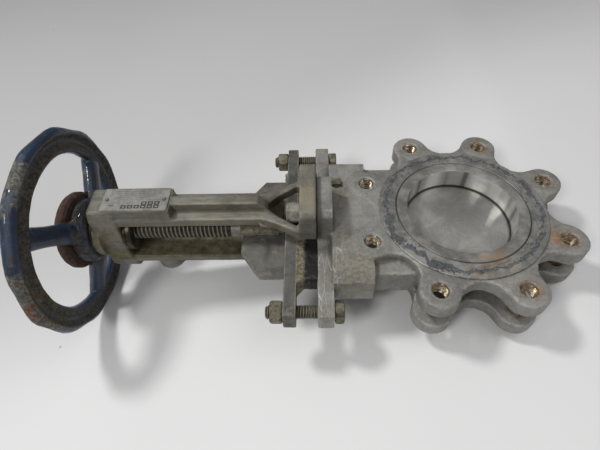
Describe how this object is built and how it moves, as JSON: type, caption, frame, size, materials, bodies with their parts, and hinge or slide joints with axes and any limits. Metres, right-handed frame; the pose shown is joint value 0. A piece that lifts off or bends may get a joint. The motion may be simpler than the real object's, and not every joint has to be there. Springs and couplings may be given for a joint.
{
  "type": "knife gate valve",
  "caption": "Lugged stainless knife gate valve lying on its side, with a bolted packing gland, two-armed yoke, rising threaded stem and a blue handwheel.",
  "frame": {"origin": "centre of the bore, midway between the two pipe faces", "axes": "+X runs along the stem away from the handwheel, so the handwheel lies towards -X; +Z is the flow axis, out of the raised face that is seen; +Y completes the frame across the gate"},
  "size_m": [0.5077, 0.2114, 0.209],
  "materials": {
    "cast_stainless": "bead-blasted cast stainless, light grey-beige, with tan grime by the bonnet flange",
    "cast_yoke": "cast stainless, grey with olive grime along its edges",
    "crusted_casting": "cast stainless with a dry tan crust",
    "polished_steel": "machined and polished stainless",
    "weathered_bolt": "dull steel fasteners, olive-tan with dirt",
    "bronze": "dark machined bronze",
    "packing_yarn": "square braided packing",
    "pale_plate": "thin pale plate, worn",
    "blue_paint": "navy paint over cast iron, chipped and dirty",
    "rusted_steel": "red-brown rust"
  },
  "bodies": {
    "valve_body": {"body": "cast_stainless", "seat_ring_front": "polished_steel", "seat_ring_rear": "polished_steel", "purge_plug": "weathered_bolt", "packing_ring_1": "packing_yarn", "packing_ring_2": "packing_yarn", "packing_ring_3": "packing_yarn", "gland_follower": "crusted_casting", "gland_bolt_left": "weathered_bolt", "gland_bolt_right": "weathered_bolt", "gland_nut_left": "weathered_bolt", "gland_nut_right": "weathered_bolt", "yoke": "cast_yoke", "yoke_bolt_front": "weathered_bolt", "yoke_bolt_rear": "weathered_bolt", "nameplate": "pale_plate", "drive_screw_1": "pale_plate", "drive_screw_2": "pale_plate", "thrust_washer_lower": "bronze", "thrust_washer_upper": "bronze"},
    "gate_assembly": {"gate": "polished_steel", "stem_clevis": "crusted_casting", "clevis_bolt_1": "weathered_bolt", "clevis_bolt_2": "weathered_bolt", "clevis_nut_1": "weathered_bolt", "clevis_nut_2": "weathered_bolt", "stem": "polished_steel"},
    "wheel_assembly": {"handwheel": "blue_paint", "wheel_key": "weathered_bolt", "lock_nut": "rusted_steel", "stem_nut": "bronze"}
  },
  "joints": [
    {"name": "handwheel_turn", "type": "hinge", "parent": "valve_body", "child": "wheel_assembly", "pos_m": [0, 0, 0], "axis": [-1, 0, 0], "range_deg": [0, 9180]},
    {"name": "gate_lift", "type": "slide", "parent": "valve_body", "child": "gate_assembly", "axis": [-1, 0, 0], "range_m": [0, 0.108]}
  ],
  "couplings": [
    {"joint": "gate_lift", "follows": "handwheel_turn", "m_per_rad": 0.00067376}
  ]
}
